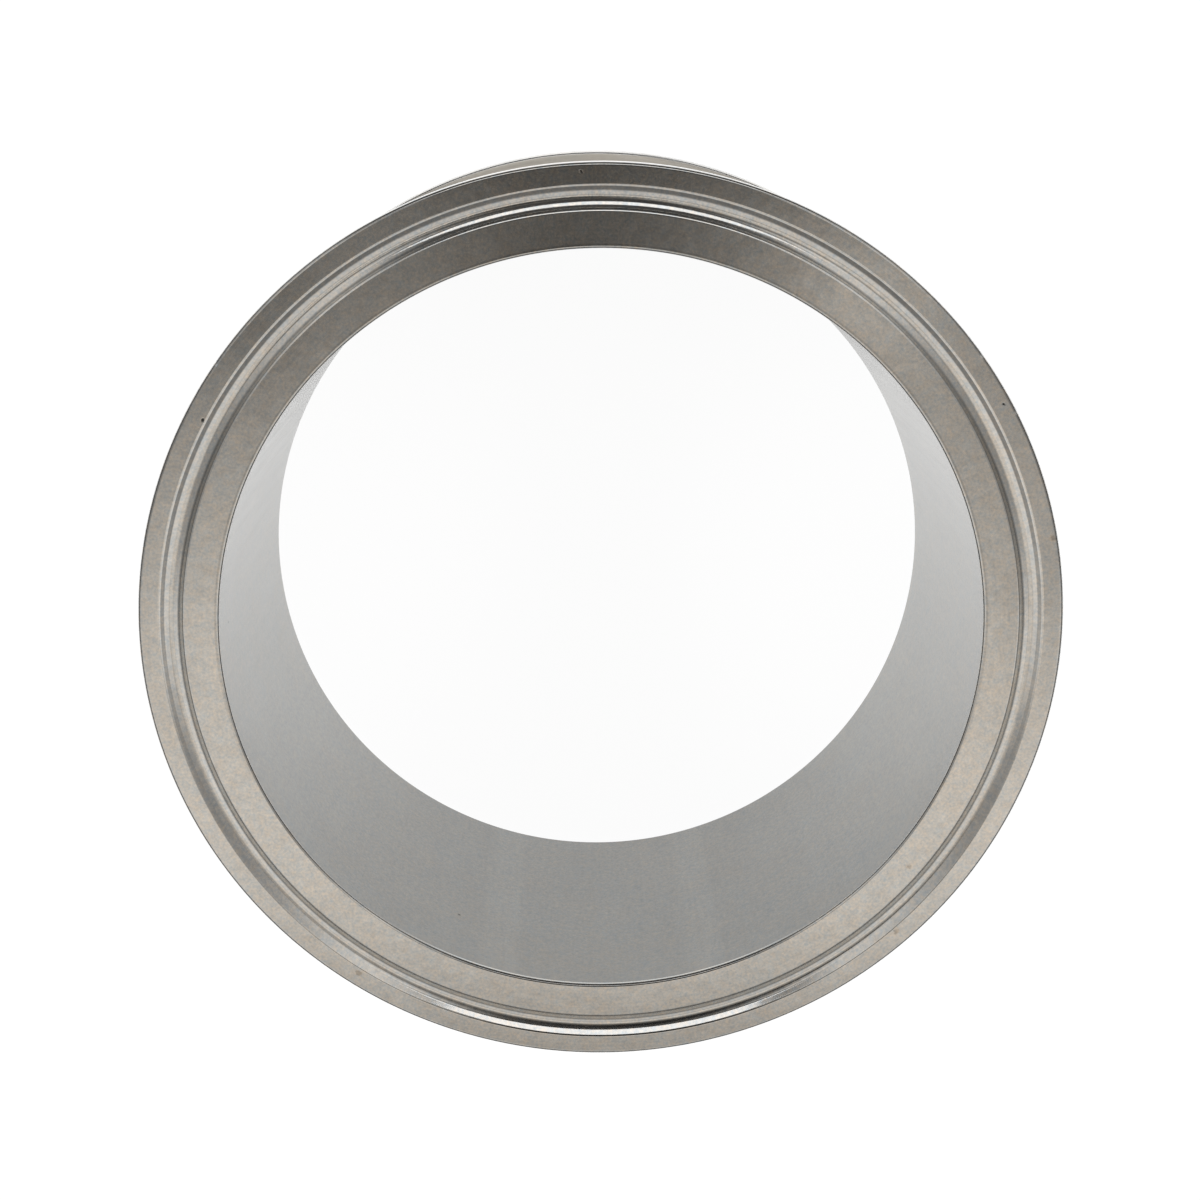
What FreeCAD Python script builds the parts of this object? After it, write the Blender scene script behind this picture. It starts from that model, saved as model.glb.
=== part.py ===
import FreeCAD, Part
import math
import os

# Sanitary clamp spool for a 4 inch hygienic line: a short length of thin tube with a
# clamp flange at each end. The joints between tube and flanges are welded through and
# dressed flush inside and out, so the spool is one piece with one smooth bore.
# Millimetres. It stands on its lower sealing face, with the bore along +Z.

V = FreeCAD.Vector

# Tube
length = 50.8             # from one sealing face to the other
tube_d = 101.6            # outside diameter
tube_wall = 1.65          # thickness, which also sets the bore

# Clamp flange, the same at both ends
flange_d = 119.0          # outside diameter
rim_t = 2.85              # from the sealing face to the back's outer edge
back_slope_deg = 20.0     # slope of the back, which the clamp's jaws draw on
neck_r = 0.8              # hollow fillet where the back runs into the tube

# Gasket groove, a hollow ring in each sealing face
groove_d = 110.3          # diameter of the ring's centre line
groove_r = 1.85           # radius of its rounded floor
groove_depth = 0.8        # below the sealing face
outer_lip_r = 0.6         # rolled edge on the rim's side
inner_lip_r = 0.3         # edge on the bore's side, only just broken

# Broken edges, each measured along one of its sides
bore_break = 0.5          # mouth of the bore
rim_face_break = 0.55     # rim, at the sealing face
rim_back_break = 0.35     # rim, at the sloping back

# Steel, for the weight that is printed
steel_g_per_mm3 = 0.00798

# Worked out from the sizes above
bore_d = tube_d - 2 * tube_wall
back_slope = math.tan(math.radians(back_slope_deg))
flange_t = rim_t + (flange_d - tube_d) / 2 * back_slope
touching = 1e-6


def section_point(diameter, depth):
    """Point of the half section, by its diameter and its depth below the upper face."""
    return V(diameter / 2, 0, length - depth)


def fillet(before, corner, after, radius):
    """Arc that rounds a corner of the section: its start, middle and end."""
    back = (before - corner).normalize()
    ahead = (after - corner).normalize()
    half_angle = back.getAngle(ahead) / 2
    reach = radius / math.tan(half_angle)
    to_arc = radius / math.sin(half_angle) - radius
    inwards = (back + ahead).normalize()
    return corner + back * reach, corner + inwards * to_arc, corner + ahead * reach


def broken_edge(before, corner, after, leg):
    """Straight line that takes off a corner of the section: its start and end."""
    back = (before - corner).normalize()
    ahead = (after - corner).normalize()
    return corner + back * leg, corner + ahead * leg


def groove_lip(side, radius):
    """Arc that rolls the sealing face over into the groove: face, middle and groove end.

    side is 1 on the rim's side and -1 on the bore's. The arc is tangent to the flat face
    and to the groove's round floor, whose centre lies above the face.
    """
    floor_centre = section_point(groove_d, groove_depth - groove_r)
    rise = groove_r - groove_depth + radius
    reach = math.sqrt((groove_r + radius) ** 2 - rise ** 2)
    lip_centre = floor_centre + V(side * reach, 0, -rise)
    to_face = V(0, 0, 1)
    to_floor = (floor_centre - lip_centre).normalize()
    to_middle = (to_face + to_floor).normalize()
    return tuple(lip_centre + way * radius for way in (to_face, to_middle, to_floor))


def half_floor(lip_end):
    """Arc of the groove's floor from the end of a lip down to its deepest line."""
    centre = section_point(groove_d, groove_depth - groove_r)
    deepest = section_point(groove_d, groove_depth)
    to_middle = ((lip_end - centre).normalize() + V(0, 0, -1)).normalize()
    return lip_end, centre + to_middle * groove_r, deepest


def turned_round(piece):
    """The same line or arc, drawn from its other end."""
    return tuple(reversed(piece))


def gasket_groove():
    """Groove in the upper face, drawn from the rim's side to the bore's side."""
    outer_lip = groove_lip(1, outer_lip_r)
    inner_face_end, _, inner_floor_end = groove_lip(-1, inner_lip_r)
    return [
        outer_lip,
        half_floor(outer_lip[-1]),
        turned_round(half_floor(inner_floor_end)),
        (inner_floor_end, inner_face_end),
    ]


def flange_end():
    """Corners and groove of the upper end, from the tube's outside to the bore."""
    tube_middle = section_point(tube_d, length / 2)
    neck = section_point(tube_d, flange_t)
    rim_back = section_point(flange_d, rim_t)
    rim_face = section_point(flange_d, 0)
    bore_mouth = section_point(bore_d, 0)
    bore_middle = section_point(bore_d, length / 2)
    return [
        fillet(tube_middle, neck, rim_back, neck_r),
        broken_edge(neck, rim_back, rim_face, rim_back_break),
        broken_edge(rim_back, rim_face, bore_mouth, rim_face_break),
        *gasket_groove(),
        broken_edge(rim_face, bore_mouth, bore_middle, bore_break),
    ]


def other_end(pieces):
    """The same end turned over, drawn on from the bore to the tube's outside."""
    def turned_over(point):
        return V(point.x, 0, length - point.z)
    return [tuple(turned_over(p) for p in turned_round(piece)) for piece in reversed(pieces)]


def edge(piece):
    """Arc through three points, or straight line between two."""
    shape = Part.Arc if len(piece) == 3 else Part.LineSegment
    return shape(*piece).toShape()


def closed_section(pieces):
    """Face inside a ring of lines and arcs, each joined to the next by a straight line."""
    edges = []
    for piece, following in zip(pieces, pieces[1:] + pieces[:1]):
        edges.append(edge(piece))
        join = (piece[-1], following[0])
        if join[0].distanceToPoint(join[1]) > touching:
            edges.append(edge(join))
    return Part.Face(Part.Wire(edges))


def spool():
    """The whole spool, turned from its section about the bore's axis."""
    upper = flange_end()
    section = closed_section(upper + other_end(upper))
    return section.revolve(V(0, 0, 0), V(0, 0, 1), 360)


body = spool()
os.makedirs("parts", exist_ok=True)
body.exportStep("parts/spool.step")

box = body.optimalBoundingBox()
print(f"spool {box.XLength:.2f} x {box.YLength:.2f} x {box.ZLength:.2f} mm")
print(f"bore {bore_d:.2f} mm, flange {flange_t:.2f} mm thick at the tube")
print(f"valid {body.isValid()}, solids {len(body.Solids)}, faces {len(body.Faces)}")
print(f"weight {body.Volume * steel_g_per_mm3:.0f} g")
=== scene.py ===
# %% [markdown]
# # A stainless clamp spool, seen from above
# This lesson dresses one turned and polished part: a short length of thin tube with a
# clamp flange at each end, standing on its lower sealing face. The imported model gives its
# true size. The lesson adds what a steel part lives by: edges that are truly round, the
# grain and smears of its finish, and a studio for it to mirror.

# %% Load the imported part
import math

import bmesh
import bpy
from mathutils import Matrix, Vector


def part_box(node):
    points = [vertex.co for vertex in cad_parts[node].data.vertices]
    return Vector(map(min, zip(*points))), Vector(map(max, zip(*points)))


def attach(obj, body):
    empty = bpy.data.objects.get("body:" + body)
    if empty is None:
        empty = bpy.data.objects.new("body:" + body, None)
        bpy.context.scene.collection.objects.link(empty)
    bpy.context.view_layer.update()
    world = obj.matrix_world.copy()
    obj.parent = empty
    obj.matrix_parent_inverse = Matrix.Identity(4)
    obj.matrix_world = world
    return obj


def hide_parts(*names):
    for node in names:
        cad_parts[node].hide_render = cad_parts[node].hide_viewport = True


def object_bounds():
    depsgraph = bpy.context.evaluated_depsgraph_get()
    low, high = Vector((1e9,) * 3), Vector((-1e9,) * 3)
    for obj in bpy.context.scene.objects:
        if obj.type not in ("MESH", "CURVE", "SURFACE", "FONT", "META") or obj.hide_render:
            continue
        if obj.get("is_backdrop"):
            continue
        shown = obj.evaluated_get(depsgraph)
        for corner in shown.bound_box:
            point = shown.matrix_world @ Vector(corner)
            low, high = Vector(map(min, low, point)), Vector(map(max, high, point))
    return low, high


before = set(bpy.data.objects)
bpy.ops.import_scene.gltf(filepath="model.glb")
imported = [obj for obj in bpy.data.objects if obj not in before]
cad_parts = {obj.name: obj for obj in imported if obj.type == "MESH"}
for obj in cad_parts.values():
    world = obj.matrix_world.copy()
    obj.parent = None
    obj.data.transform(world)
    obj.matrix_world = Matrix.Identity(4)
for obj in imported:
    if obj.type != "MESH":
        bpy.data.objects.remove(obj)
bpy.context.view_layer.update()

low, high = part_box("spool")
height = high.z - low.z
MM = 0.001
print(f"the spool stands {height / MM:.2f} mm tall and is {(high.x - low.x) / MM:.2f} mm across")

# %% [markdown]
# ## The camera
# The spool was looked at nearly straight down its bore, from about a quarter of a metre.
# The far flange is further off, so it shows smaller, through the near one. A camera looks
# down by default and only needs a small tilt. Its place is measured from the middle of the
# upper sealing face, because that is the plane that the eye settles on.

# %% Camera
camera_from_face = Vector((-3.74, 66.5, 231.49)) * MM
camera_turn = (math.radians(-14.93), math.radians(-0.748), math.radians(0.382))
lens_mm = 56.17

bpy.ops.object.camera_add(
    location=camera_from_face + Vector((0, 0, height)),
    rotation=camera_turn,
)
camera = bpy.context.object
camera.data.sensor_width = 36
camera.data.lens = lens_mm
camera.data.clip_start = 0.01
bpy.context.scene.camera = camera
bpy.context.scene.view_settings.view_transform = "Standard"
print("camera at", [round(c / MM, 1) for c in camera.location], "mm")

# %% [markdown]
# ## Helpers for node trees
# Every material here is a small tree of nodes. Written out one by one, nodes take five
# lines each, so a few short helpers do the wiring: one puts a value or a wire into a
# socket, one adds a node with its options and inputs, one adds a sum, and one carries a
# value over from one range to another. A colour ramp gets a helper too, because its stops
# have to be made before they can be set. The last helper isn't for nodes: an operator acts
# on all that is selected, so everything is deselected before a new piece is added.

# %% Helpers for node trees
def feed(tree, value, socket):
    """Wires an output into a socket, or sets a plain value on it."""
    if isinstance(value, bpy.types.NodeSocket):
        tree.links.new(value, socket)
    else:
        socket.default_value = value


def node(tree, kind, inputs=None, **options):
    """Adds a shader node, sets its options and feeds the inputs that are named."""
    made = tree.nodes.new("ShaderNode" + kind)
    for option, value in options.items():
        setattr(made, option, value)
    for name, value in (inputs or {}).items():
        feed(tree, value, made.inputs[name])
    return made


def sum_of(tree, operation, *values):
    """Adds a Math node and returns its result."""
    return node(tree, "Math", dict(enumerate(values)), operation=operation).outputs[0]


def ranged(tree, value, start, end, first=0.0, last=1.0, kind="LINEAR"):
    """Carries a value from one range over to another, and holds it at both ends."""
    sockets = {"Value": value, "From Min": start, "From Max": end, "To Min": first, "To Max": last}
    return node(tree, "MapRange", sockets, clamp=True, interpolation_type=kind).outputs[0]


def ramp(tree, factor, stops):
    """Adds a colour ramp of greys; stops are pairs of place and brightness."""
    made = node(tree, "ValToRGB", {"Fac": factor})
    elements = made.color_ramp.elements
    while len(elements) < len(stops):
        elements.new(0.5)
    for element, (place, grey) in zip(elements, stops):
        element.position = place
        element.color = (grey, grey, grey, 1)
    return made.outputs["Color"]


def new_material(name):
    """Empty node material: the material, its tree and the socket for its surface."""
    material = bpy.data.materials.new(name)
    material.use_nodes = True
    tree = material.node_tree
    tree.nodes.clear()
    return material, tree, node(tree, "OutputMaterial").inputs["Surface"]


def deselect_all():
    bpy.ops.object.select_all(action="DESELECT")


print("helpers ready")

# %% [markdown]
# ## The floor
# The spool stands on plain white. A matt white floor alone would come out grey round the
# part, so most of what the camera sees of it is a plain strength of 1, which is white. The
# rest is matt paper that takes the lamps' light, and that share keeps the soft shadow at
# the foot. It fades out with distance, so that the floor meets the sky without a line. In
# reflections the paper counts for more, and further out the floor goes dim, because the
# real paper ends there.

# %% Floor
round_sides = 96
floor_radius = 4.0
floor_paper = 0.92
white_for_camera = 0.95
white_for_mirrors = 0.5
shadow_end = (0.3, 1.2)    # m from the middle, where the shadow's share fades out
paper_end = (0.15, 0.45)   # m from the middle, where the floor goes dim to mirrors
dim_floor = 0.12

deselect_all()
bpy.ops.mesh.primitive_circle_add(vertices=round_sides, radius=floor_radius, fill_type="NGON")
floor = bpy.context.object
floor.name = "floor"

floor_material, tree, surface = new_material("white floor")
paper = node(tree, "BsdfDiffuse", {"Color": (floor_paper, floor_paper, floor_paper, 1)})
path = node(tree, "LightPath").outputs
seen = sum_of(tree, "MAXIMUM", path["Is Camera Ray"], path["Is Transmission Ray"])
place = node(tree, "TexCoord").outputs["Object"]
away = node(tree, "VectorMath", {0: place}, operation="LENGTH").outputs["Value"]
past_paper = sum_of(tree, "MULTIPLY", path["Is Glossy Ray"], ranged(tree, away, *paper_end))
mirrored = ranged(tree, past_paper, 0.0, 1.0, white_for_mirrors, 1.0)
plain = ranged(tree, away, *shadow_end, white_for_camera, 1.0)
share = sum_of(
    tree, "MAXIMUM",
    sum_of(tree, "MULTIPLY", seen, plain),
    sum_of(tree, "MULTIPLY", path["Is Glossy Ray"], mirrored),
)
glow = node(tree, "Emission", {"Strength": ranged(tree, past_paper, 0.0, 1.0, 1.0, dim_floor)})
mixed = node(tree, "MixShader", {0: share, 1: paper.outputs[0], 2: glow.outputs[0]})
tree.links.new(mixed.outputs[0], surface)
floor.data.materials.append(floor_material)
floor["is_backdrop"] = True
print(f"floor of {floor_radius} m, {white_for_camera:.0%} of it plain white to the camera")

# %% [markdown]
# ## The sky
# Past the floor's edge the world is white as well. The camera and mirrors see it at a
# strength of 1. Matt surfaces get less from it, because a full white sky would wash out
# the shadow.

# %% Sky
sky_on_matt = 0.35

world = bpy.data.worlds.new("white sky")
bpy.context.scene.world = world
world.use_nodes = True
tree = world.node_tree
path = node(tree, "LightPath").outputs
seen = sum_of(tree, "MAXIMUM", path["Is Camera Ray"], path["Is Glossy Ray"])
seen = sum_of(tree, "MAXIMUM", seen, path["Is Transmission Ray"])
sky = tree.nodes["Background"]
sky.inputs["Color"].default_value = (1, 1, 1, 1)
feed(tree, ranged(tree, seen, 0.0, 1.0, sky_on_matt, 1.0), sky.inputs["Strength"])
print(f"sky gives matt surfaces {sky_on_matt}")

# %% [markdown]
# ## Cards that only mirrors see
# Polished steel has hardly a look of its own: it shows the room. A photographer shapes
# that with cards and soft boxes just out of the picture. Here they are bright planes that
# the camera, matt surfaces and shadows all pass through, so they change what the steel
# mirrors and nothing else.

# %% Cards
def only_in_mirrors(piece, name):
    """Makes a finished piece of the studio show in reflections alone."""
    piece.name = name
    piece.visible_camera = False
    piece.visible_diffuse = False
    piece.visible_shadow = False
    bpy.ops.object.transform_apply(location=True, rotation=True, scale=True)
    piece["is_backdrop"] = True


def card(name, place, width, depth):
    """Level card with its middle at that place."""
    deselect_all()
    bpy.ops.mesh.primitive_plane_add(size=1, location=place)
    piece = bpy.context.object
    piece.scale = (width, depth, 1)
    only_in_mirrors(piece, name)
    return piece


def light_up(piece, pattern):
    """Gives a card the light that a pattern draws over it."""
    material, tree, surface = new_material(piece.name)
    # Reflections find the card by themselves, so it isn't sampled as a lamp too.
    material.cycles.emission_sampling = "NONE"
    position = node(tree, "TexCoord").outputs["Object"]
    glow = node(tree, "Emission", {"Color": pattern(tree, position)})
    tree.links.new(glow.outputs[0], surface)
    piece.data.materials.append(material)


print("cards ready")

# %% [markdown]
# ## A plan for the ceiling
# The flat lands of the upper face mirror the part of the room that lies round the camera.
# A plan drawn at the height of the lens makes that easy to work out: a point of the face
# shows the spot of the plan that is twice as far out from the lens as the point is. The
# true ceiling hangs much higher, and shows the same plan blown up about the lens.

# %% Plan
ceiling_above_face = 1.2  # m
blow_up = (1 + ceiling_above_face / camera_from_face.z) / 2
lens_xy = camera_from_face.xy / MM


def above(x, y):
    """Place on the ceiling, in metres, that belongs to a place on the plan in mm."""
    spot = (lens_xy + (Vector((x, y)) - lens_xy) * blow_up) * MM
    return Vector((spot.x, spot.y, height + ceiling_above_face))


def to_plan(tree, position):
    """Place on the plan, in mm, that belongs to a point of the room."""
    shrink = 1 / (blow_up * MM)
    shift = lens_xy * (1 - 1 / blow_up)
    sockets = {0: position, 1: (shrink, shrink, 0.0), 2: (shift.x, shift.y, 0.0)}
    return node(tree, "VectorMath", sockets, operation="MULTIPLY_ADD").outputs[0]


def away_from(tree, plan, place):
    """Distance on the plan from one place, in mm."""
    return node(tree, "VectorMath", {0: plan, 1: (*place, 0.0)}, operation="DISTANCE").outputs["Value"]


print(f"the ceiling shows the plan {blow_up:.2f} times as large")

# %% [markdown]
# ## What the room looks like
# On the real spool the front lands show a bright, warm ceiling that ends in a straight
# line and then falls off into the dark behind the camera. That is a ramp along Y, with a
# few soft spots where the light is uneven. Only the groove's curved floor looks further
# out. There the room fans out from one point, as the folds and corners of a light tent
# do: bright in front, grey at both sides, a pale fold in each back corner and dark
# straight behind the camera. So the outer part of the plan is a ramp round that point.

# %% Patterns
plan_half = 565            # mm, from the middle to each side
lands_middle = (3.8, -67)  # mm, middle of the part of the plan that the lands show
lands_reach = (125, 175)   # mm from there, over which that part gives way to the fan
fan_middle = (5.3, -41)    # mm
darkest = 0.05
near_tint = (1.055, 0.992, 0.91, 1)
far_tint = (1.02, 0.995, 0.955, 1)

# mm along Y, and brightness
near_bands = [
    (-190, 0.42), (-165, 0.652), (-140, 0.826), (-115, 0.864), (-90, 0.832), (-62, 0.874), (-57, 0.717),
    (-35, 0.585), (-10, 0.44), (15, 0.347), (30, 0.309), (42, 0.26), (55, 0.173), (80, 0.14),
]

# degrees from straight back, to the right, and brightness
fan_folds = [
    (-180, 0.71), (-150, 0.84), (-130, 0.94), (-118, 0.96), (-102, 0.89), (-95, 0.76), (-90, 0.60),
    (-85, 0.43), (-75, 0.37), (-65, 0.42), (-50, 0.72), (-43, 0.85), (-38, 0.75), (-32, 0.38),
    (-24, 0.08), (17, 0.05), (25, 0.38), (30, 0.68), (36, 0.85), (41, 0.88), (46, 0.78),
    (54, 0.52), (62, 0.40), (72, 0.36), (82, 0.42), (88, 0.54), (93, 0.74), (100, 0.90),
    (120, 0.92), (138, 0.87), (160, 0.74), (180, 0.71),
]

# place in mm, reach in mm, and what it adds
soft_spots = [
    ((70, 17), 20, 0.345), ((-92, 24), 27, -0.19), ((72.5, 4.5), 9, -0.136),
    ((-135, -74), 33, -0.162), ((124, -64), 25, -0.264), ((-1.6, 20), 37, -0.20),
    ((-121, 185), 40, 0.45), ((107, 163), 38, 0.40),
]


def soft_spot(tree, plan, place, reach, adds):
    """Light that is strongest at one place and fades evenly round it."""
    share = sum_of(tree, "DIVIDE", away_from(tree, plan, place), reach)
    fall = sum_of(tree, "MULTIPLY", sum_of(tree, "POWER", share, 2.0), -1.0)
    return sum_of(tree, "MULTIPLY", sum_of(tree, "EXPONENT", fall), adds)


def straight_bands(tree, plan):
    """Ramp over the plan from its front edge to its back edge."""
    along = node(tree, "SeparateXYZ", {0: plan}).outputs["Y"]
    stops = [((mm + plan_half) / (2 * plan_half), light) for mm, light in near_bands]
    return ramp(tree, ranged(tree, along, -plan_half, plan_half), stops)


def fan(tree, plan, folds):
    """Ramp over the directions round the point that the tent's folds come from."""
    out = node(tree, "VectorMath", {0: plan, 1: (*fan_middle, 0.0)}, operation="SUBTRACT").outputs[0]
    way = node(tree, "SeparateXYZ", {0: out}).outputs
    turn = sum_of(tree, "ARCTAN2", way["X"], way["Y"])
    stops = [((degrees + 180) / 360, light) for degrees, light in folds]
    return ramp(tree, ranged(tree, turn, -math.pi, math.pi), stops)


def ceiling_pattern(tree, position):
    plan = to_plan(tree, position)
    far = ranged(tree, away_from(tree, plan, lands_middle), *lands_reach, kind="SMOOTHSTEP")
    near_light = straight_bands(tree, plan)
    step = sum_of(tree, "MULTIPLY", far, sum_of(tree, "SUBTRACT", fan(tree, plan, fan_folds), near_light))
    light = sum_of(tree, "ADD", near_light, step)
    for place, reach, adds in soft_spots:
        light = sum_of(tree, "ADD", light, soft_spot(tree, plan, place, reach, adds))
    light = sum_of(tree, "MAXIMUM", light, darkest)
    # Sockets 6 and 7 are the two colours of a Mix node.
    tint = node(tree, "Mix", {0: far, 6: near_tint, 7: far_tint}, data_type="RGBA").outputs[2]
    return node(tree, "VectorMath", {0: tint, "Scale": light}, operation="SCALE").outputs[0]


print(f"{len(near_bands)} bands, {len(fan_folds)} folds and {len(soft_spots)} soft spots")

# %% [markdown]
# ## Ceiling, soft box and camera
# One soft box behind the camera makes the white glints that run along the groove, above
# and below. It hangs just under the ceiling. The camera's body is a black card at the
# height of the lens, which widens the fine dark line along the top of the groove.

# %% Ceiling, soft box and camera
box_middle = (3, 446)      # mm on the plan
box_size = (438, 298)
box_strength = 1.5
box_drop = 5 * MM          # below the ceiling
body_middle = (-3.7, -12)  # mm, the camera seen from the spool
body_size = (26, 72)
body_strength = 0.02


def even(strength):
    """Pattern of one even grey."""
    return lambda tree, position: (strength, strength, strength, 1)


ceiling_size = 2 * plan_half * MM * blow_up
light_up(card("ceiling", above(0, 0), ceiling_size, ceiling_size), ceiling_pattern)

box_place = above(*box_middle) - Vector((0, 0, box_drop))
box_width, box_depth = (side * MM * blow_up for side in box_size)
light_up(card("soft_box", box_place, box_width, box_depth), even(box_strength))

body_place = Vector((*body_middle, camera.location.z / MM)) * MM
light_up(card("camera_body", body_place, *(side * MM for side in body_size)), even(body_strength))
print(f"ceiling {ceiling_size:.2f} m wide, soft box {box_width:.2f} x {box_depth:.2f} m")

# %% [markdown]
# ## The wall
# A ring of wall closes the room under the ceiling's edge. The tent's folds run on down it
# and fade. Towards the foot everything grows dark, which is why the groove's sides end in
# dark lines nearly all the way round.

# %% Wall
wall_radius = 1.74
wall_height = height + ceiling_above_face

# degrees from straight back, and brightness near the foot
foot_folds = [
    (-180, 0.17), (-70, 0.12), (-50, 0.26), (-40, 0.26), (-28, 0.10),
    (26, 0.10), (38, 0.26), (48, 0.26), (72, 0.12), (180, 0.17),
]

# height as a share of the wall's, and how much of the foot's light counts there
foot_share = [(0.0, 1.0), (0.33, 0.92), (0.60, 0.72), (0.97, 0.0)]


def wall_pattern(tree, position):
    plan = to_plan(tree, position)
    level = ranged(tree, node(tree, "SeparateXYZ", {0: position}).outputs["Z"], 0.0, wall_height)
    light = fan(tree, plan, fan_folds)
    step = sum_of(tree, "SUBTRACT", fan(tree, plan, foot_folds), light)
    light = sum_of(tree, "MULTIPLY_ADD", ramp(tree, level, foot_share), step, light)
    return node(tree, "VectorMath", {0: far_tint[:3], "Scale": light}, operation="SCALE").outputs[0]


deselect_all()
bpy.ops.mesh.primitive_cylinder_add(
    vertices=round_sides, radius=wall_radius, depth=wall_height,
    location=(0, 0, wall_height / 2), end_fill_type="NOTHING",
)
wall = bpy.context.object
only_in_mirrors(wall, "wall")
light_up(wall, wall_pattern)
print(f"wall {wall_height:.2f} m tall, {wall_radius} m from the spool")

# %% [markdown]
# ## The lamps
# The lamps light the floor, and through it the inside of the bore. They stay out of the
# mirrors, because a bare lamp would show as a hard spot on the polish. Two stand low at
# the sides: their light slips under the rim and brightens the bore's left and right walls,
# which on the real spool are paler than the front one.

# %% Lamps
def lamp(name, place, size, watts):
    """Square lamp at that place, turned to the foot of the spool."""
    deselect_all()
    bpy.ops.object.light_add(type="AREA", location=place)
    made = bpy.context.object
    made.name = name
    made.data.shape = "SQUARE"
    made.data.size = size
    made.data.energy = watts
    made.rotation_euler = Vector(place).to_track_quat("Z", "Y").to_euler()
    made.visible_glossy = False
    print(f"{name}: {watts} W, {size} m wide")


lamp("overhead lamp", (0.1, 0.4, 1.1), size=0.8, watts=4)
lamp("right lamp", (0.75, 0.0, 0.42), size=0.4, watts=12)
lamp("left lamp", (-0.75, 0.0, 0.42), size=0.4, watts=16.5)

# %% [markdown]
# ## The spool's section
# A lathe part is the same all the way round, so its whole form is one section. It could be
# a curve with a Screw modifier, but then every rounding would have to be worked out point
# by point. Here the section is drawn as a flat sheet with sharp corners, the corners are
# rounded with the bevel tool, and the outline is spun. The height and the rim's radius
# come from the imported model, and the radius gives up a hair, so that the spun ring stays
# inside the model's box. The rest are the maker's sizes: thin tube wall, clamp flange with
# a back that slopes for the clamp's jaws, and a shallow round groove for the gasket.

# %% Sizes of the section
hair = 0.001 * MM
rim_r = min(high.x, high.y) - hair
mid_height = height / 2
tube_r = 50.8 * MM
wall_t = 1.65 * MM
bore_r = tube_r - wall_t
rim_t = 2.85 * MM
back_slope = math.radians(20)
flange_t = rim_t + (rim_r - tube_r) * math.tan(back_slope)
flange_back = height - flange_t
NEAR = 2e-6                # m, within which two places count as one
print(f"flange {rim_t / MM:.2f} mm thick at the rim, {flange_t / MM:.2f} mm at the tube")

# %% [markdown]
# ## Half of the section, as a sheet
# The sheet starts as a plane the size of the upper half of the tube's wall. It is cut
# across where the flange begins, the flange is pulled out of its outer edge, and the
# flange's lower outer corner is lifted to give the sloping back.

# %% Tools for the section
def pick(kind, test):
    """Selects only the corners or edges that pass a test."""
    bpy.ops.mesh.select_mode(type=kind)
    bpy.ops.mesh.select_all(action="DESELECT")
    mesh = bmesh.from_edit_mesh(body.data)
    items = mesh.verts if kind == "VERT" else mesh.edges
    for item in items:
        if test(item):
            item.select_set(True)
    bmesh.update_edit_mesh(body.data)


def corner_at(x, z):
    """Test for the corner at one place of the section."""
    return lambda corner: abs(corner.co.x - x) < NEAR and abs(corner.co.z - z) < NEAR


def move_corner(start, end):
    """Moves the corner at one place of the section to another."""
    pick("VERT", corner_at(*start))
    bpy.ops.transform.translate(value=(end[0] - start[0], 0, end[1] - start[1]))


def one_face():
    """Joins all the faces of the sheet into one."""
    bpy.ops.mesh.select_mode(type="FACE")
    bpy.ops.mesh.select_all(action="SELECT")
    bpy.ops.mesh.dissolve_faces()


print("tools for the section ready")

# %% Wall and flange
deselect_all()
bpy.ops.mesh.primitive_plane_add(
    size=1,
    location=(bore_r + wall_t / 2, 0, height * 3 / 4),
    rotation=(math.radians(90), 0, 0),
)
body = bpy.context.object
body.name = "spool_body"
body.data.name = "spool_body"
body.scale = (wall_t, mid_height, 1)
bpy.ops.object.transform_apply(location=True, rotation=True, scale=True)


def beside_flange(line):
    return all(abs(end.co.x - tube_r) < NEAR and end.co.z > flange_back - NEAR for end in line.verts)


bpy.ops.object.mode_set(mode="EDIT")
bpy.ops.mesh.select_all(action="SELECT")
bpy.ops.mesh.bisect(plane_co=(0, 0, flange_back), plane_no=(0, 0, 1))
pick("EDGE", beside_flange)
bpy.ops.mesh.extrude_region_move(TRANSFORM_OT_translate={"value": (rim_r - tube_r, 0, 0)})
move_corner((rim_r, flange_back), (rim_r, height - rim_t))
one_face()
print("corners of the half section:", len(bmesh.from_edit_mesh(body.data).verts))

# %% [markdown]
# ## The gasket groove
# The groove's floor is hollow and runs smoothly into a rolled lip on each side. A trough
# with the right flanks gives just that once its two bottom corners and its two lips are
# rounded. The inner flank is no more than the line where its two arcs touch, so its angle
# comes from their radii and the groove's depth. The outer flank rises more gently and has
# a short straight stretch, which mirrors the soft box as one even band.

# %% Groove as a trough
groove_mid_r = 55.12 * MM
groove_depth = 0.80 * MM
inner_floor_arc = 1.55 * MM
outer_floor_arc = 1.78 * MM
inner_lip = 0.45 * MM
outer_lip = 0.55 * MM
inner_arcs = inner_floor_arc + inner_lip
inner_slope = math.acos((inner_arcs - groove_depth) / inner_arcs)
outer_slope = math.radians(38.5)
inner_foot = groove_mid_r - inner_floor_arc * math.tan(inner_slope / 2)
outer_foot = groove_mid_r + outer_floor_arc * math.tan(outer_slope / 2)
inner_edge = inner_foot - groove_depth / math.tan(inner_slope)
outer_edge = outer_foot + groove_depth / math.tan(outer_slope)
groove_z = height - groove_depth


def across_land(line):
    ends = [end.co for end in line.verts]
    return all(abs(end.z - height) < NEAR for end in ends) and max(end.x for end in ends) > rim_r - NEAR


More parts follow.
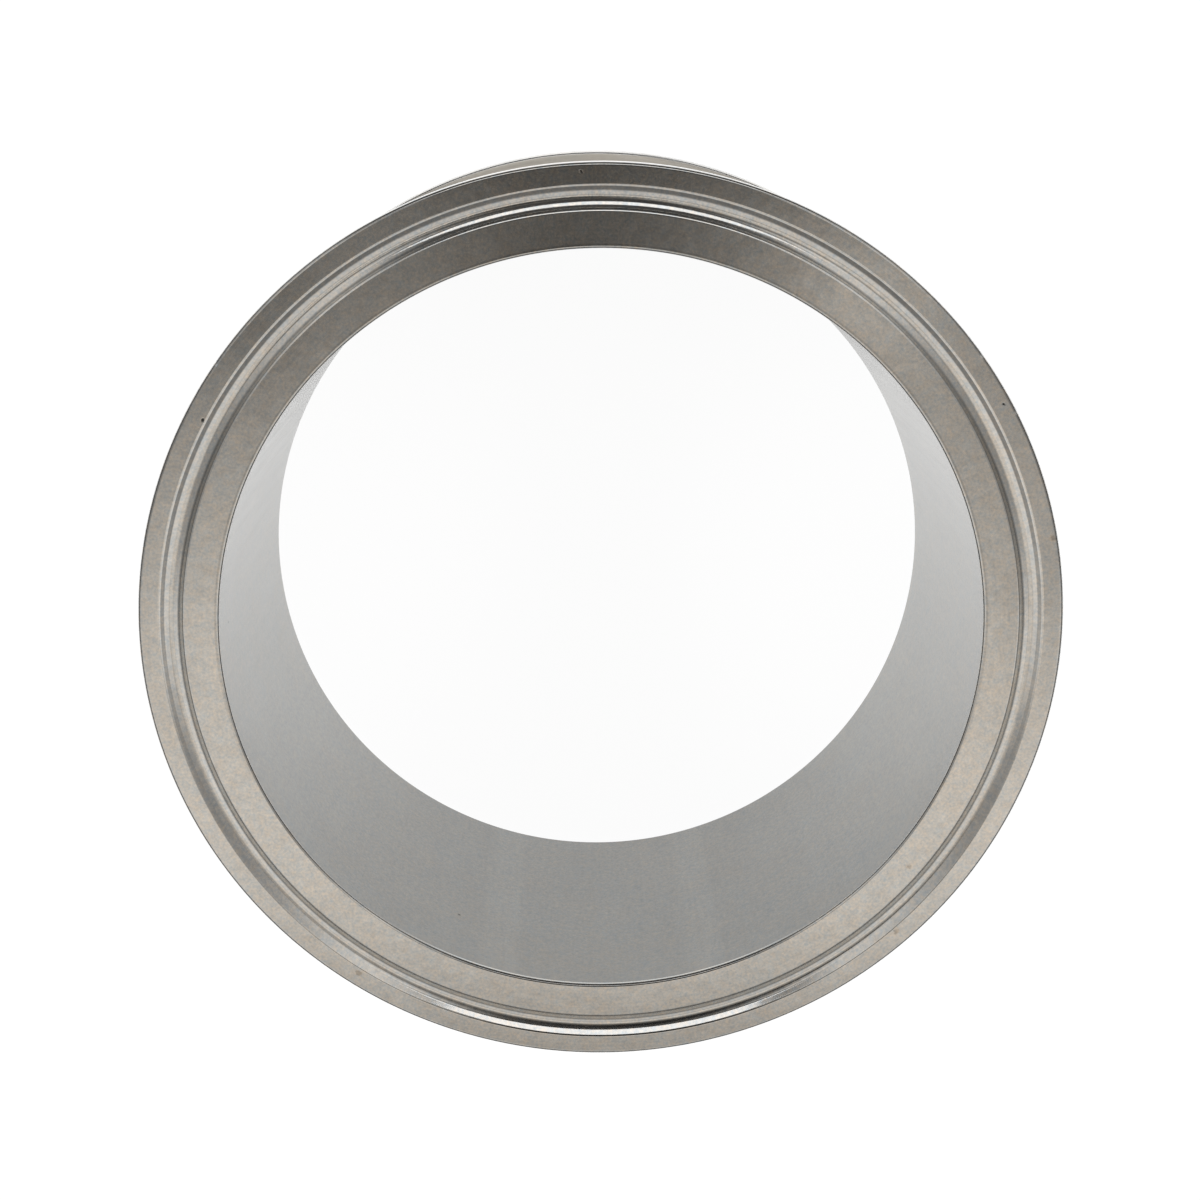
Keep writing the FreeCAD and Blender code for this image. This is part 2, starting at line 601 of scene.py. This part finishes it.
trough = [(inner_edge, height), (inner_foot, groove_z), (outer_foot, groove_z), (outer_edge, height)]
pick("EDGE", across_land)
bpy.ops.mesh.subdivide(number_cuts=len(trough))
step = (rim_r - tube_r) / (len(trough) + 1)
for count, corner in enumerate(trough, start=1):
    move_corner((tube_r + count * step, height), corner)
one_face()
print(f"groove {(outer_edge - inner_edge) / MM:.2f} mm wide and {groove_depth / MM:.2f} mm deep")

# %% [markdown]
# ## Round corners
# A corner of a flat sheet is rounded by a vertex bevel. The bevel asks how far along the
# sides the arc starts, which is the radius times the tangent of half the turn. Many
# segments are worth their cost here: these small arcs are what shows as bright and dark
# lines on the finished part.

# %% Rounding
mouth_break = 0.38 * MM
rim_face_break = 0.50 * MM
rim_back_arc = 0.60 * MM
neck_arc = 0.8 * MM


def round_corner(x, z, radius, turn, segments):
    """Rounds the corner at one place of the section, where its outline makes that turn."""
    pick("VERT", corner_at(x, z))
    bpy.ops.mesh.bevel(
        offset=radius * math.tan(turn / 2), offset_type="OFFSET", segments=segments,
        profile=0.5, affect="VERTICES", clamp_overlap=False,
    )


square = math.radians(90)
round_corner(outer_edge, height, outer_lip, outer_slope, segments=8)
round_corner(inner_edge, height, inner_lip, inner_slope, segments=6)
round_corner(inner_foot, groove_z, inner_floor_arc, inner_slope, segments=16)
round_corner(outer_foot, groove_z, outer_floor_arc, outer_slope, segments=20)
round_corner(bore_r, height, mouth_break, square, segments=8)
round_corner(rim_r, height, rim_face_break, square, segments=10)
round_corner(rim_r, height - rim_t, rim_back_arc, square - back_slope, segments=8)
round_corner(tube_r, flange_back, neck_arc, square - back_slope, segments=8)
print("corners after rounding:", len(bmesh.from_edit_mesh(body.data).verts))

# %% [markdown]
# ## The other half, and the outline
# The spool's two ends are alike, so the sheet is copied and turned over about mid height.
# Then its face goes and only its outline stays, because a spun face would leave walls
# inside the steel.

# %% Outline
bpy.ops.mesh.select_all(action="SELECT")
bpy.ops.mesh.duplicate()
bpy.ops.transform.resize(value=(1, 1, -1), center_override=(0, 0, mid_height))
bpy.ops.mesh.select_all(action="SELECT")
bpy.ops.mesh.remove_doubles(threshold=NEAR)
one_face()
bpy.ops.mesh.select_all(action="SELECT")
bpy.ops.mesh.delete(type="ONLY_FACE")
print("corners of the outline:", len(bmesh.from_edit_mesh(body.data).verts))

# %% [markdown]
# ## Spinning it
# One full turn in one-degree steps makes the closed ring. The last copy lands on the
# first, and the spin joins the two. Doubles are merged once more all the same, and then
# the normals are made to point outwards, because a spin can come out inside out. Smooth
# shading stops only at real edges, and weighted normals keep the flat lands flat beside
# their tiny roundings.

# %% Spin
spin_steps = 360
sharp_from = math.radians(40)

bpy.ops.mesh.select_mode(type="VERT")
bpy.ops.mesh.select_all(action="SELECT")
bpy.ops.mesh.spin(steps=spin_steps, angle=math.radians(360), center=(0, 0, 0), axis=(0, 0, 1))
bpy.ops.mesh.select_all(action="SELECT")
bpy.ops.mesh.remove_doubles(threshold=NEAR)
bpy.ops.mesh.normals_make_consistent(inside=False)
bpy.ops.object.mode_set(mode="OBJECT")

deselect_all()
body.select_set(True)
bpy.context.view_layer.objects.active = body
bpy.ops.object.shade_smooth_by_angle(angle=sharp_from)
body.modifiers.new("flat lands", "WEIGHTED_NORMAL").keep_sharp = True
bpy.ops.object.modifier_apply(modifier="flat lands")
print(f"{len(body.data.vertices)} vertices and {len(body.data.polygons)} faces")

# %% [markdown]
# ## Shared effects for the steel
# All four finishes need the same few effects, so each effect is a node group, built once
# and used with other values in each finish. They read the object's own coordinates, in
# metres. The first is grain that follows the lathe: noise that is stretched one way round
# the axis and squeezed across it. Seen in a section, "across" is outwards on the faces
# and upwards in the bore, so the two are added and one group serves both.

# %% Group for turned grain
noise_spread = (0.25, 0.75)  # nearly all that a noise texture gives lies between these


def new_group(name, inputs, outputs):
    """Empty node group; its inputs are named with their defaults, a colour or vector as a tuple."""
    tree = bpy.data.node_groups.new(name, "ShaderNodeTree")
    for title, default in inputs.items():
        kind = "NodeSocketFloat"
        if isinstance(default, tuple):
            kind = "NodeSocketColor" if len(default) == 4 else "NodeSocketVector"
        tree.interface.new_socket(name=title, in_out="INPUT", socket_type=kind).default_value = default
    for title, kind in outputs.items():
        tree.interface.new_socket(name=title, in_out="OUTPUT", socket_type="NodeSocket" + kind)
    given = tree.nodes.new("NodeGroupInput").outputs
    result = tree.nodes.new("NodeGroupOutput").inputs
    return tree, given, result


def use(tree, group, **inputs):
    """Places a node group and feeds it; an underscore in a name stands for a space."""
    made = tree.nodes.new("ShaderNodeGroup")
    made.node_tree = group
    for name, value in inputs.items():
        feed(tree, value, made.inputs[name.replace("_", " ")])
    return made.outputs[0]


def build_turned_grain():
    """Grain from -1 to 1, in cells so long round the axis and so wide across it."""
    tree, given, result = new_group(
        "turned grain", {"Position": (0.0, 0.0, 0.0), "Round": 0.01, "Across": 0.0002}, {"Grain": "Float"},
    )
    place = node(tree, "SeparateXYZ", {0: given["Position"]}).outputs
    flat = node(tree, "CombineXYZ", {0: place["X"], 1: place["Y"]}).outputs[0]
    radius = node(tree, "VectorMath", {0: flat}, operation="LENGTH").outputs["Value"]
    outwards = sum_of(tree, "ADD", radius, place["Z"])
    cells = node(tree, "CombineXYZ", {
        0: sum_of(tree, "DIVIDE", place["X"], given["Round"]),
        1: sum_of(tree, "DIVIDE", place["Y"], given["Round"]),
        2: sum_of(tree, "DIVIDE", outwards, given["Across"]),
    }).outputs[0]
    noise = node(tree, "TexNoise", {"Vector": cells, "Scale": 1.0, "Detail": 2.0})
    feed(tree, ranged(tree, noise.outputs["Fac"], *noise_spread, -1.0, 1.0), result["Grain"])
    return tree


turned_grain = build_turned_grain()
print("turned grain ready")

# %% [markdown]
# ## Clouds
# Handled steel is never one even tone. Very faint clouds, some a finger wide and some no
# larger than a grain of sand, are what tells metal from plastic. They are plain noise of a
# given size, and the same group serves tone, warmth, roughness and relief.

# %% Group for clouds
def build_clouds():
    """Even noise from -1 to 1 with spots of a given size, in metres."""
    tree, given, result = new_group(
        "clouds", {"Position": (0.0, 0.0, 0.0), "Size": 0.01, "Detail": 2.0}, {"Cloud": "Float"},
    )
    scale = sum_of(tree, "DIVIDE", 1.0, given["Size"])
    noise = node(tree, "TexNoise", {"Vector": given["Position"], "Scale": scale, "Detail": given["Detail"]})
    feed(tree, ranged(tree, noise.outputs["Fac"], *noise_spread, -1.0, 1.0), result["Cloud"])
    return tree


clouds = build_clouds()
print("clouds ready")

# %% [markdown]
# ## Marks in one place
# A pit, a stain or a smear is a soft round mask about one point of the surface. A little
# noise in the distance breaks its outline, so that it doesn't look stamped.

# %% Group for one mark
def build_mark():
    """Mask that is 1 at one place of the surface and 0 past its reach."""
    tree, given, result = new_group(
        "mark", {"Position": (0.0, 0.0, 0.0), "Place": (0.0, 0.0, 0.0), "Reach": 0.001, "Ragged": 0.4},
        {"Mask": "Float"},
    )
    away = node(tree, "VectorMath", {0: given["Position"], 1: given["Place"]}, operation="DISTANCE")
    share = sum_of(tree, "DIVIDE", away.outputs["Value"], given["Reach"])
    cloud = use(tree, clouds, Position=given["Position"], Size=given["Reach"])
    share = sum_of(tree, "ADD", share, sum_of(tree, "MULTIPLY", cloud, given["Ragged"]))
    feed(tree, ranged(tree, share, 1.0, 0.4, kind="SMOOTHSTEP"), result["Mask"])
    return tree


mark = build_mark()


def marks(tree, position, places, reach, ragged=0.4):
    """Mask of several like marks, with their places in mm."""
    mask = 0.0
    for place in places:
        point = tuple(Vector(place) * MM)
        one = use(tree, mark, Position=position, Place=point, Reach=reach * MM, Ragged=ragged)
        mask = sum_of(tree, "MAXIMUM", mask, one)
    return mask


print("marks ready")

# %% [markdown]
# ## Fine pits
# A polished face keeps a few tiny pits that the wheel didn't reach. A Voronoi texture has
# one point to each cell; a random number for each cell decides which of them is a pit.

# %% Group for pits
def build_pits():
    """Mask of tiny round pits, one at most to a cell of the given spacing."""
    tree, given, result = new_group(
        "pits", {"Position": (0.0, 0.0, 0.0), "Spacing": 0.003, "Share": 0.1, "Size": 0.00008},
        {"Mask": "Float"},
    )
    scale = sum_of(tree, "DIVIDE", 1.0, given["Spacing"])
    cells = node(tree, "TexVoronoi", {"Vector": given["Position"], "Scale": scale}).outputs
    away = sum_of(tree, "MULTIPLY", cells["Distance"], given["Spacing"])
    chance = node(tree, "SeparateColor", {0: cells["Color"]}).outputs["Red"]
    chosen = sum_of(tree, "LESS_THAN", chance, given["Share"])
    near = sum_of(tree, "DIVIDE", away, given["Size"])
    round_pit = ranged(tree, near, 1.0, 0.5, kind="SMOOTHSTEP")
    feed(tree, sum_of(tree, "MULTIPLY", round_pit, chosen), result["Mask"])
    return tree


pits = build_pits()
print("pits ready")

# %% [markdown]
# ## Edges and the front
# Some of the painted shade and light goes by place. An edge of a turned part is a narrow
# ring about the axis, so one group is a ring with soft sides. A second one tells how far to
# the front a point lies, because a few painted dark lines and one painted bright line change there.

# %% Groups for rings and for the depth
front_part = (-40, -46)    # mm along the depth, over which the front part begins


def build_ring():
    """Mask that is 1 between two distances from the axis, and fades over Soft at both."""
    tree, given, result = new_group(
        "ring", {"Position": (0.0, 0.0, 0.0), "Inner": 0.0, "Outer": 0.01, "Soft": 0.0001},
        {"Mask": "Float"},
    )

    def both_sides(edge):
        return [sum_of(tree, way, given[edge], given["Soft"]) for way in ("SUBTRACT", "ADD")]

    level = node(tree, "VectorMath", {0: given["Position"], 1: (1.0, 1.0, 0.0)}, operation="MULTIPLY")
    away = node(tree, "VectorMath", {0: level.outputs[0]}, operation="LENGTH").outputs["Value"]
    rise = ranged(tree, away, *both_sides("Inner"))
    fall = ranged(tree, away, *both_sides("Outer"), 1.0, 0.0)
    feed(tree, sum_of(tree, "MULTIPLY", rise, fall), result["Mask"])
    return tree


def build_depth_share():
    """Share that rises from 0 to 1 between two places along the spool's depth."""
    tree, given, result = new_group(
        "depth share", {"Position": (0.0, 0.0, 0.0), "Start": 0.0, "End": 0.01}, {"Share": "Float"},
    )
    along = node(tree, "SeparateXYZ", {0: given["Position"]}).outputs["Y"]
    feed(tree, ranged(tree, along, given["Start"], given["End"]), result["Share"])
    return tree


ring = build_ring()
depth_share = build_depth_share()


def to_front(tree, position, start, end):
    """Share that rises from 0 to 1 between two places along the depth, in mm."""
    return use(tree, depth_share, Position=position, Start=start * MM, End=end * MM)


print("ring and depth ready")

# %% [markdown]
# ## The colour of the steel
# Stainless steel is a grey that leans a little to straw. This group takes a base colour
# and lets two masks move it: one makes it lighter or darker, the other warmer or cooler.

# %% Group for the steel's tone
def build_steel_tone():
    """Base colour, made lighter by Tone and warmer by Warmth, both small numbers about 0."""
    tree, given, result = new_group(
        "steel tone", {"Base": (0.5, 0.5, 0.5, 1.0), "Tone": 0.0, "Warmth": 0.0}, {"Colour": "Color"},
    )
    warmer = sum_of(tree, "ADD", 1.0, given["Warmth"])
    cooler = sum_of(tree, "SUBTRACT", 1.0, given["Warmth"])
    lean = node(tree, "CombineXYZ", {0: warmer, 1: 1.0, 2: cooler}).outputs[0]
    leaned = node(tree, "VectorMath", {0: given["Base"], 1: lean}, operation="MULTIPLY").outputs[0]
    light = sum_of(tree, "MAXIMUM", sum_of(tree, "ADD", 1.0, given["Tone"]), 0.0)
    toned = node(tree, "VectorMath", {0: leaned, "Scale": light}, operation="SCALE").outputs[0]
    feed(tree, toned, result["Colour"])
    return tree


steel_tone = build_steel_tone()


def total(tree, *parts):
    """Adds up pairs of a mask and how much of it is wanted."""
    result = 0.0
    for mask, amount in parts:
        result = sum_of(tree, "MULTIPLY_ADD", mask, amount, result)
    return result


def steel(name, base, tone, warmth, roughness, relief, relief_depth):
    """Steel finish: each recipe is a function of the tree and the object's coordinates."""
    material, tree, surface = new_material(name)
    position = node(tree, "TexCoord").outputs["Object"]
    colour = use(tree, steel_tone, Base=base, Tone=tone(tree, position), Warmth=warmth(tree, position))
    bump = node(tree, "Bump", {"Height": relief(tree, position), "Distance": relief_depth, "Strength": 1.0})
    shader = node(tree, "BsdfPrincipled", {
        "Base Color": colour,
        "Metallic": 1.0,
        "Roughness": roughness(tree, position),
        "Normal": bump.outputs[0],
    })
    tree.links.new(shader.outputs[0], surface)
    return material


print("steel ready")

# %% [markdown]
# ## Polished faces and groove
# The sealing faces, the groove and the small roundings were polished after turning. Up
# close they have soft clouds, a trace of the lathe's rings, sand-fine mottling, short
# wiping smears on the right and a few dark pits and straw-coloured stains. The smears are
# noise that is only let through in places, as a cloth leaves them. Fine dark lines of
# painted shade and painted dark reflection run along the narrow edges: the rim's all the
# way round, the one at the mouth of the bore mostly in front and behind, and the groove's
# inner lip's more and more towards the front.

# %% Polished finish
face_z = height / MM
face_pits = [(-2.9, 58.3), (49.9, 30.3), (-49.9, 27.8), (-35.4, 42.5)]
face_stains = [(57.3, 13.1), (-32.5, -47.4), (39.9, -41.2), (41.1, -31.9)]
face_smears = [(45.2, 20.3), (47.0, 18.4), (52.2, 8.1), (52.6, 2.9), (37.6, 34.6), (15.1, 50.4)]
rim_nicks = [(46.9, 36.2), (51.6, 29.2), (-48.1, 34.8)]

# distances from the axis between which a fine dark line of painted shade lies
rim_painted_line = (rim_r - 0.41 * MM, rim_r + 0.50 * MM)
mouth_painted_line = (bore_r - 0.15 * MM, bore_r + 0.27 * MM)
mouth_land_painted_shade = (bore_r + 0.27 * MM, bore_r + 0.57 * MM)
lip_painted_line = (inner_edge - 0.185 * MM, inner_edge + 0.205 * MM)
painted_line_softness = 0.08 * MM

# mm along the depth, from back to front
mouth_shade_behind = (0, -25)
lip_shade_rise = (20, -46)

wiping_angle = math.radians(-35)


def on_face(places):
    return [(x, y, face_z) for x, y in places]


def smears(tree, position):
    """Wisps of a wiping cloth round a few places of the upper face."""
    where = marks(tree, position, on_face(face_smears), reach=3.2, ragged=0.8)
    slanted = node(tree, "Mapping", {"Vector": position, "Rotation": (0, 0, wiping_angle)})
    stretched = node(tree, "VectorMath", {0: slanted.outputs[0], 1: (1.0, 4.0, 1.0)}, operation="MULTIPLY")
    wisp = use(tree, clouds, Position=stretched.outputs[0], Size=0.0022, Detail=4.0)
    return sum_of(tree, "MULTIPLY", where, wisp)


def painted_dark_ring(tree, position, edge):
    """Mask of one painted dark line, between its two distances from the axis."""
    inner, outer = edge
    return use(tree, ring, Position=position, Inner=inner, Outer=outer, Soft=painted_line_softness)


def painted_dark_edges(tree, position):
    """How much painted shade darkens the narrow edges: fine dark lines at the rim, the mouth and the inner
    lip.
    """
    in_front = to_front(tree, position, *front_part)
    behind = sum_of(tree, "SUBTRACT", 1.0, to_front(tree, position, *mouth_shade_behind))
    lip_share = to_front(tree, position, *lip_shade_rise)
    # Painted shade: dark lines along the rim, the mouth and the inner lip, some only in front or behind.
    return total(
        tree,
        (painted_dark_ring(tree, position, rim_painted_line), 0.36),
        (painted_dark_ring(tree, position, mouth_painted_line), sum_of(tree, "MULTIPLY_ADD", in_front, 0.43, 0.05)),
        (painted_dark_ring(tree, position, mouth_land_painted_shade), sum_of(tree, "MULTIPLY", behind, 0.22)),
        (painted_dark_ring(tree, position, lip_painted_line), sum_of(tree, "MULTIPLY", lip_share, 0.38)),
    )


def polished_tone(tree, position):
    return total(
        tree,
        # Painted shade: the fine dark lines along the narrow edges.
        (painted_dark_edges(tree, position), -1.0),
        (use(tree, clouds, Position=position, Size=0.011), 0.022),
        (use(tree, clouds, Position=position, Size=0.0024), 0.034),
        (use(tree, clouds, Position=position, Size=0.0009), 0.060),
        (use(tree, clouds, Position=position, Size=0.00035), 0.115),
        (use(tree, turned_grain, Position=position, Round=0.012, Across=0.00030), 0.020),
        (smears(tree, position), -0.09),
        (marks(tree, position, on_face(face_pits), reach=0.28), -0.85),
        (marks(tree, position, on_face(face_stains), reach=0.50), -0.30),
        (use(tree, pits, Position=position, Spacing=0.004, Share=0.16, Size=0.00013), -0.40),
        (marks(tree, position, on_face(rim_nicks), reach=0.35), 0.60),
    )


def polished_warmth(tree, position):
    return total(
        tree,
        (use(tree, clouds, Position=position, Size=0.014), 0.014),
        (use(tree, clouds, Position=position, Size=0.0019), 0.020),
        (use(tree, clouds, Position=position, Size=0.0008), 0.044),
        (use(tree, clouds, Position=position, Size=0.00035), 0.062),
        (marks(tree, position, on_face(face_stains), reach=0.65), 0.07),
    )


def polished_roughness(tree, position):
    return total(
        tree,
        (1.0, 0.115),
        (use(tree, clouds, Position=position, Size=0.006), 0.015),
        (use(tree, clouds, Position=position, Size=0.0011), 0.012),
        (smears(tree, position), 0.03),
    )


def polished_relief(tree, position):
    return total(
        tree,
        (use(tree, clouds, Position=position, Size=0.0030), 1.0),
        (use(tree, turned_grain, Position=position, Round=0.02, Across=0.00035), 0.12),
        (marks(tree, position, on_face(face_pits), reach=0.28), -4.0),
    )


polished = steel(
    "polished face", (0.59, 0.58, 0.56, 1),
    polished_tone, polished_warmth, polished_roughness, polished_relief, relief_depth=0.000004,
)
print(f"{len(face_pits)} pits, {len(face_stains)} stains and {len(face_smears)} smears on the upper face")

# %% [markdown]
# ## The bore
# Inside, the tube is satin: it was polished along its length, so its grain runs up and
# down. Grain that is short round the bore and long across does that with the same group.
# Two pale streaks of painted reflection run down the front wall. In front, a fine bright
# line is painted a hair below the mouth's rounding: a painted highlight.

# %% Bore finish
bore_pits = [(-19.7, -45.0, face_z - 13.5), (-49.1, -0.1, face_z - 6.6), (40.9, 27.3, face_z - 34.8)]
reflection_streak_places = [(-13.6, -47.3), (14.6, -46.9)]
reflection_streak_width = 3.4
highlight_depths = (0.72, 0.55)  # mm below the face, over which the painted highlight begins


def reflection_streaks(tree, position):
    """Painted reflection: two faint pale streaks that run down the front of the bore."""
    level = node(tree, "VectorMath", {0: position, 1: (1.0, 1.0, 0.0)}, operation="MULTIPLY").outputs[0]
    mask = marks(tree, level, [(x, y, 0) for x, y in reflection_streak_places], reflection_streak_width, ragged=0.2)
    grain = use(tree, turned_grain, Position=position, Round=0.0005, Across=0.016)
    return sum_of(tree, "MULTIPLY", mask, ranged(tree, grain, -1.0, 1.0, 0.5, 1.0))


def painted_lip_highlight(tree, position):
    """Painted highlight: a fine bright line over the first hair of the bore, in front only."""
    up = node(tree, "SeparateXYZ", {0: position}).outputs["Z"]
    lip = ranged(tree, up, *(height - depth * MM for depth in highlight_depths))
    return sum_of(tree, "MULTIPLY", lip, to_front(tree, position, *front_part))


def bore_tone(tree, position):
    return total(
        tree,
        # Painted highlight: a fine bright line just below the mouth, in front only.
        (painted_lip_highlight(tree, position), 1.5),
        (use(tree, turned_grain, Position=position, Round=0.0004, Across=0.009), 0.022),
        (use(tree, turned_grain, Position=position, Round=0.0032, Across=0.060), 0.014),
        (use(tree, clouds, Position=position, Size=0.009), 0.024),
        (use(tree, clouds, Position=position, Size=0.0007), 0.066),
        (use(tree, clouds, Position=position, Size=0.00030), 0.085),
        # Painted reflection: two pale streaks down the front wall.
        (reflection_streaks(tree, position), 0.075),
        (marks(tree, position, bore_pits, reach=0.30), -0.70),
    )


def bore_warmth(tree, position):
    return total(
        tree,
        (use(tree, clouds, Position=position, Size=0.012), 0.014),
        (use(tree, clouds, Position=position, Size=0.0022), 0.018),
        (use(tree, clouds, Position=position, Size=0.0007), 0.034),
        (use(tree, clouds, Position=position, Size=0.00035), 0.030),
    )


def bore_roughness(tree, position):
    return total(
        tree,
        (1.0, 0.14),
        (use(tree, turned_grain, Position=position, Round=0.0012, Across=0.020), 0.02),
        (reflection_streaks(tree, position), 0.03),
    )


def bore_relief(tree, position):
    return total(
        tree,
        (use(tree, turned_grain, Position=position, Round=0.0005, Across=0.012), 1.0),
        (marks(tree, position, bore_pits, reach=0.30), -4.0),
    )


satin = steel(
    "bore satin", (0.372, 0.369, 0.354, 1),
    bore_tone, bore_warmth, bore_roughness, bore_relief, relief_depth=0.0000015,
)
print(f"bore: grain along the tube, {len(reflection_streak_places)} streaks")

# %% [markdown]
# ## The flanges' backs
# The sloping backs only meet the clamp, so they stay as the lathe left them: fine rings
# that spread the light, duller and darker than the faces.

# %% Turned finish
lathe_step = 0.45 * MM


def turned_tone(tree, position):
    return total(
        tree,
        (use(tree, turned_grain, Position=position, Round=0.030, Across=0.00040), 0.06),
        (use(tree, clouds, Position=position, Size=0.008), 0.03),
        (use(tree, clouds, Position=position, Size=0.0008), 0.04),
        (use(tree, pits, Position=position, Spacing=0.003, Share=0.2, Size=0.00014), -0.40),
    )


def turned_warmth(tree, position):
    return total(tree, (use(tree, clouds, Position=position, Size=0.010), 0.025))


def turned_roughness(tree, position):
    return total(
        tree,
        (1.0, 0.34),
        (use(tree, turned_grain, Position=position, Round=0.020, Across=0.0006), 0.05),
    )


def turned_relief(tree, position):
    return total(
        tree,
        (use(tree, turned_grain, Position=position, Round=0.040, Across=lathe_step), 1.0),
        (use(tree, clouds, Position=position, Size=0.0030), 0.6),
    )


turned = steel(
    "turned back", (0.40, 0.375, 0.335, 1),
    turned_tone, turned_warmth, turned_roughness, turned_relief, relief_depth=0.000008,
)
print(f"flange backs: rings {lathe_step / MM:.2f} mm wide")

# %% [markdown]
# ## The tube's outside and the rim
# Outside, the tube was brushed round with a belt after the weld was dressed, and so was
# the rim's narrow edge. The rings are longer and finer here, with a few deeper scratches.
# The tube is painted a darker grey than the rim, as painted shade from the two flanges.

# %% Brushed finish
scratch_range = (0.62, 0.90)  # values of the grain over which a line becomes a scratch


def scratches(tree, position):
    """The few deepest lines of the brushing, from 0 to 1."""
    line = use(tree, turned_grain, Position=position, Round=0.030, Across=0.00022)
    return ranged(tree, line, *scratch_range)


def brushed_tone(tree, position):
    return total(
        tree,
        (use(tree, turned_grain, Position=position, Round=0.015, Across=0.00016), 0.05),
        (use(tree, turned_grain, Position=position, Round=0.050, Across=0.0016), 0.03),
        (use(tree, clouds, Position=position, Size=0.013), 0.03),
        (scratches(tree, position), -0.09),
        # Painted shade: the tube between the two flanges is made darker.
        (use(tree, ring, Position=position, Inner=0.0, Outer=tube_r + MM, Soft=MM), -0.27),
    )


def brushed_warmth(tree, position):
    return total(
        tree,
        (use(tree, clouds, Position=position, Size=0.016), 0.020),
        (use(tree, clouds, Position=position, Size=0.0025), 0.010),
    )


def brushed_roughness(tree, position):
    return total(
        tree,
        (1.0, 0.24),
        (use(tree, turned_grain, Position=position, Round=0.020, Across=0.0004), 0.05),
        (scratches(tree, position), 0.12),
    )


def brushed_relief(tree, position):
    return total(
        tree,
        (use(tree, turned_grain, Position=position, Round=0.015, Across=0.00020), 1.0),
        (scratches(tree, position), -1.5),
    )


brushed = steel(
    "brushed outside", (0.55, 0.543, 0.53, 1),
    brushed_tone, brushed_warmth, brushed_roughness, brushed_relief, relief_depth=0.000003,
)
print("outside: brushed round")

# %% [markdown]
# ## Which face gets which finish
# A face's place tells what it belongs to: its distance from the axis and its distance from
# the nearer end.

# %% Finishes on the faces
finishes = [polished, satin, turned, brushed]
for finish in finishes:
    body.data.materials.append(finish)
polish_depth = 1.2 * MM    # from each end
edge_width = 0.05 * MM     # margin, so that a wall's own faces count as being on it
rim_band = 0.42 * MM       # brushed, from the rim inwards


def finish_of(face):
    """Finish of one face, by its distance from the axis and from the nearer end."""
    out = math.hypot(face.center.x, face.center.y)
    deep = min(face.center.z, height - face.center.z)
    if out < bore_r + edge_width and deep > mouth_break:
        return satin
    if deep < polish_depth and out < rim_r - edge_width:
        return polished
    if out > rim_r - rim_band or out < tube_r + edge_width:
        return brushed
    return turned


counts = dict.fromkeys((finish.name for finish in finishes), 0)
for face in body.data.polygons:
    finish = finish_of(face)
    face.material_index = finishes.index(finish)
    counts[finish.name] += 1
print(counts)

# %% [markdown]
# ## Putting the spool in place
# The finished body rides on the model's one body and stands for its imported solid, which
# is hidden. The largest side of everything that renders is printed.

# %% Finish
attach(body, "root")
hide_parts("spool")

visual_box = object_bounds()
sides = [visual_box[1][axis] - visual_box[0][axis] for axis in range(3)]
print("largest side", round(max(sides) / MM, 3), "mm")
